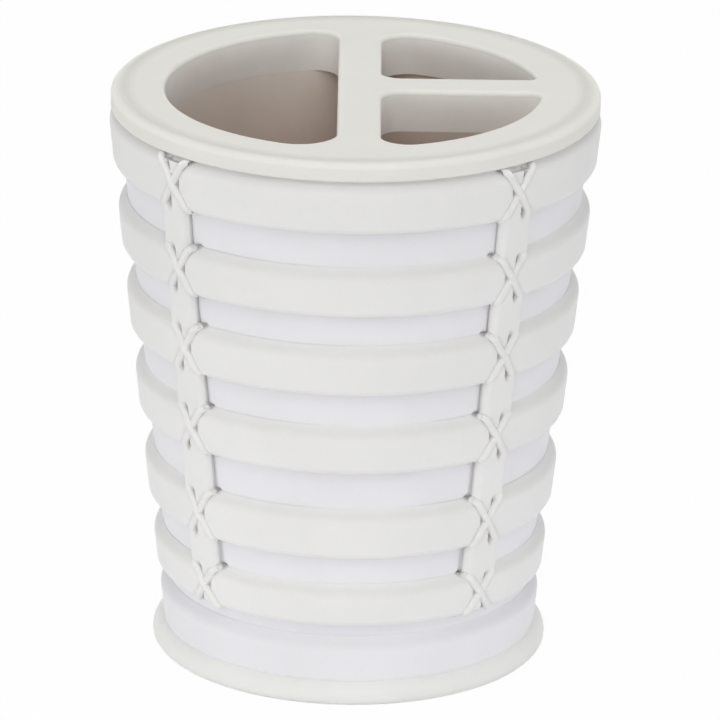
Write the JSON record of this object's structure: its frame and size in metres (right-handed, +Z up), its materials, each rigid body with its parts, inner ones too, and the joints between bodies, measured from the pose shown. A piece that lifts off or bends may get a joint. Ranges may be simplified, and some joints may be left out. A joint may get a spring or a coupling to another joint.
{
  "type": "toothbrush holder",
  "caption": "Tapered white tumbler ringed by raised hoops with uprights and X-shaped cord lashings, on a round base, with a lift-out top that has brush and toothpaste openings.",
  "frame": {"origin": "middle of the underside, on the surface it stands on", "axes": "+Z up through the top; the top's wide bar lies along Y; its narrow bar runs from the wide bar to +X; the D-shaped opening is on the -X side"},
  "size_m": [0.0904, 0.0904, 0.108],
  "materials": {
    "cup": "matte white, warmer inside",
    "base": "matte white",
    "hoops": "matte white",
    "stakes": "matte white",
    "lashings": "matte white, cord texture",
    "top": "matte white, soft sheen on the rim"
  },
  "bodies": {
    "holder": {"cup": "cup", "base_dish": "base", "hoop_1": "hoops", "hoop_2": "hoops", "hoop_3": "hoops", "hoop_4": "hoops", "hoop_5": "hoops", "hoop_6": "hoops", "lower_band": "hoops", "stake_1": "stakes", "stake_2": "stakes", "stake_3": "stakes", "stake_4": "stakes", "lashing_1_1": "lashings", "lashing_1_2": "lashings", "lashing_1_3": "lashings", "lashing_1_4": "lashings", "lashing_2_1": "lashings", "lashing_2_2": "lashings", "lashing_2_3": "lashings", "lashing_2_4": "lashings", "lashing_3_1": "lashings", "lashing_3_2": "lashings", "lashing_3_3": "lashings", "lashing_3_4": "lashings", "lashing_4_1": "lashings", "lashing_4_2": "lashings", "lashing_4_3": "lashings", "lashing_4_4": "lashings", "lashing_5_1": "lashings", "lashing_5_2": "lashings", "lashing_5_3": "lashings", "lashing_5_4": "lashings", "lashing_6_1": "lashings", "lashing_6_2": "lashings", "lashing_6_3": "lashings", "lashing_6_4": "lashings"},
    "lid": {"top_plate": "top"}
  },
  "joints": [
    {"name": "lid_lift", "type": "slide", "parent": "holder", "child": "lid", "axis": [0, 0, 1], "range_m": [0, 0.03]}
  ]
}
